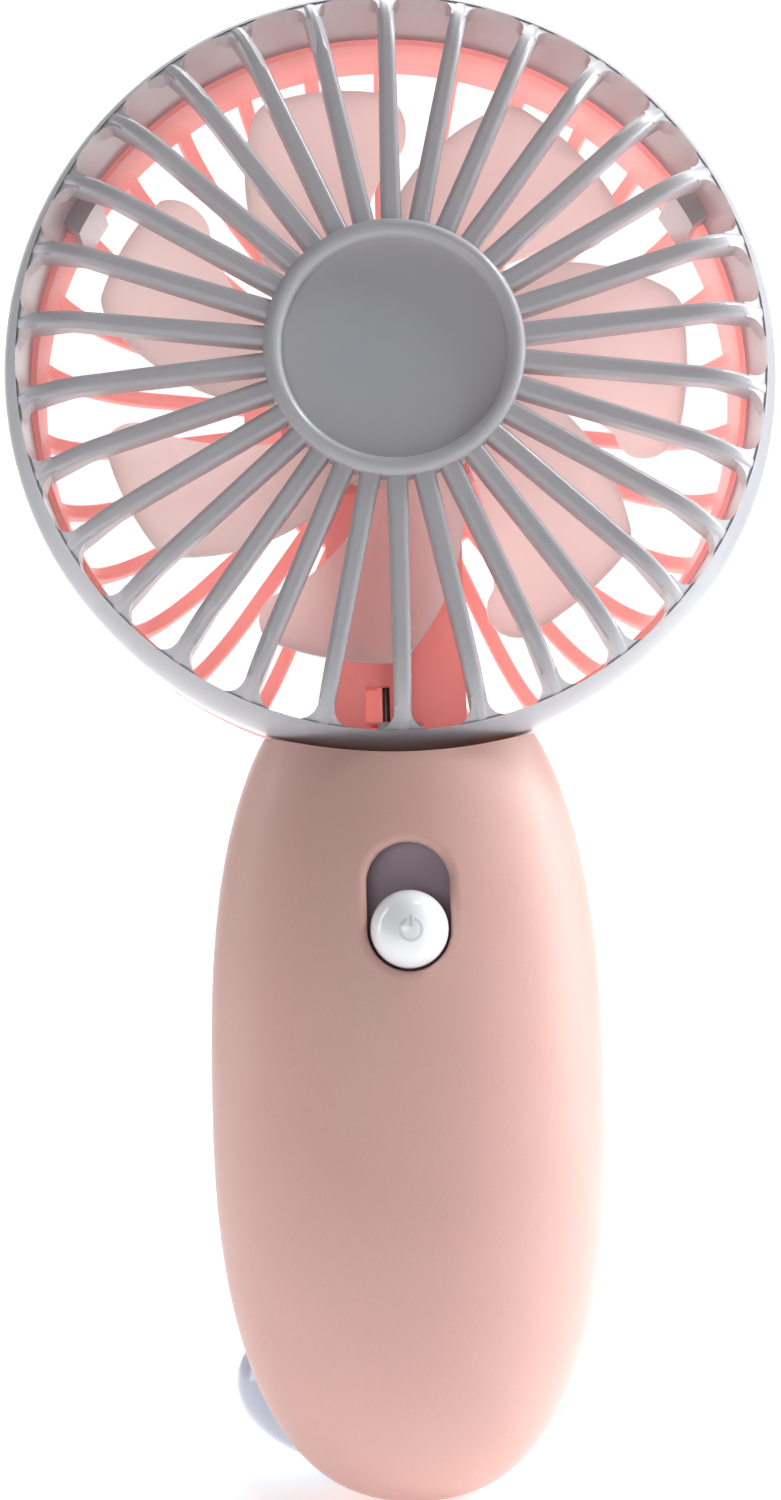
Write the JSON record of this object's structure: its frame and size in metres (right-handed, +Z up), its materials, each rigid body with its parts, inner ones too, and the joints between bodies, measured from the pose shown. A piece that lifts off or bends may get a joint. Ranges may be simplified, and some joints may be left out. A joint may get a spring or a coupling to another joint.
{
  "type": "handheld fan",
  "caption": "Small handheld electric fan: round spoked guard over a bladed impeller, on an egg-shaped handle with a ball slide switch and a rear foot.",
  "frame": {"origin": "middle of the small flat face under the handle, on the handle's axis", "axes": "+Z up along the handle, -Y the way the air blows and the guard faces, +X to the right seen from the front"},
  "size_m": [0.091, 0.0419, 0.1755],
  "materials": {
    "guard_grey": "satin moulded plastic, pale lilac grey",
    "guard_pink": "satin moulded plastic, salmon pink",
    "blade_pink": "slightly translucent moulded plastic",
    "handle_pink": "matte plastic with a very fine grain",
    "knob_white": "glossy white plastic",
    "shield_mauve": "matte mauve grey plastic",
    "foot_white": "glossy white plastic",
    "steel": "plated steel",
    "screw_steel": "blackened steel",
    "magnet": "sintered ferrite",
    "core_steel": "laminated electrical steel",
    "copper": "enamelled copper wire",
    "brass": "sintered bronze or brass",
    "nickel": "nickel strip",
    "white_nylon": "natural nylon",
    "black_plastic": "black moulded plastic",
    "lead_red": "red wire insulation",
    "lead_black": "black wire insulation",
    "board_green": "solder-masked glass-fibre board",
    "cell_wrap": "shrink-wrapped lithium cell",
    "foam": "closed-cell foam",
    "light_pipe": "clear light pipe"
  },
  "bodies": {
    "housing": {"front_grille": "guard_grey", "rear_cover": "guard_pink", "motor_can": "steel", "motor_end_cap": "white_nylon", "motor_bushes": "brass", "motor_magnets": "magnet", "motor_brushes": "brass", "motor_terminals": "nickel", "motor_lead_red": "lead_red", "motor_lead_black": "lead_black", "battery_lead_red": "lead_red", "battery_lead_black": "lead_black", "switch_leads": "lead_black", "handle_front_shell": "handle_pink", "handle_rear_shell": "handle_pink", "rear_foot": "foot_white", "switch_housing": "steel", "switch_pins": "nickel", "switch_board": "board_green", "main_board": "board_green", "board_components": "black_plastic", "charge_socket_shell": "nickel", "charge_socket_tongue": "black_plastic", "charge_light": "light_pipe", "battery_cell": "cell_wrap", "battery_tabs": "nickel", "battery_pad": "foam", "handle_screws": "screw_steel", "neck_screws": "screw_steel", "foot_screws": "screw_steel", "main_board_screws": "screw_steel", "switch_board_screws": "screw_steel"},
    "rotor": {"impeller": "blade_pink", "motor_shaft": "steel", "motor_armature": "core_steel", "motor_windings": "copper", "motor_commutator": "copper"},
    "switch": {"slide_knob": "knob_white", "knob_shield": "shield_mauve", "switch_slider": "black_plastic"}
  },
  "joints": [
    {"name": "rotor_spin", "type": "hinge", "parent": "housing", "child": "rotor", "pos_m": [0, 0, 0.13], "axis": [0, 1, 0], "continuous": true},
    {"name": "switch_slide", "type": "slide", "parent": "housing", "child": "switch", "axis": [0, 0, 1], "range_m": [0, 0.0049]}
  ]
}
